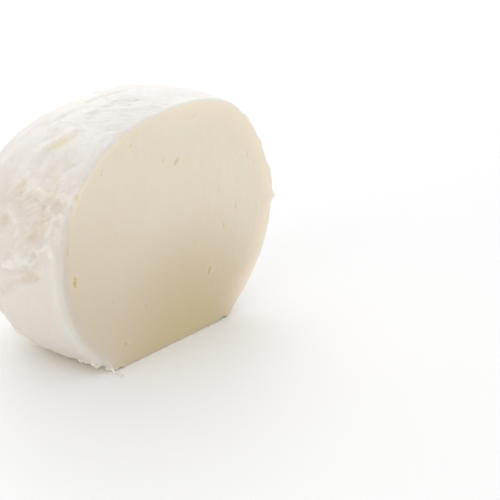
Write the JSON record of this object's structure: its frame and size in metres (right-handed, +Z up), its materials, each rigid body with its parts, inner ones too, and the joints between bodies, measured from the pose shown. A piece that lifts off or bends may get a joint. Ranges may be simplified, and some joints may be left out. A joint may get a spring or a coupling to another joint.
{
  "type": "mozzarella ball",
  "caption": "Cut mozzarella ball: the larger part of a soft round cheese, with a flat cut face in front, a creased skin and a settled foot.",
  "frame": {"origin": "on the resting plane, under the middle of the part's box", "axes": "+X runs across the cut face, +Y goes from the cut face to the round back, and +Z is up; the cut face looks along -Y"},
  "size_m": [0.0679, 0.0394, 0.0498],
  "materials": {
    "mozzarella": "fresh cheese: translucent ivory cut face and whiter, finely fibrous skin, with a soft moist sheen"
  },
  "bodies": {
    "root": {"mozzarella": "mozzarella"}
  },
  "joints": []
}
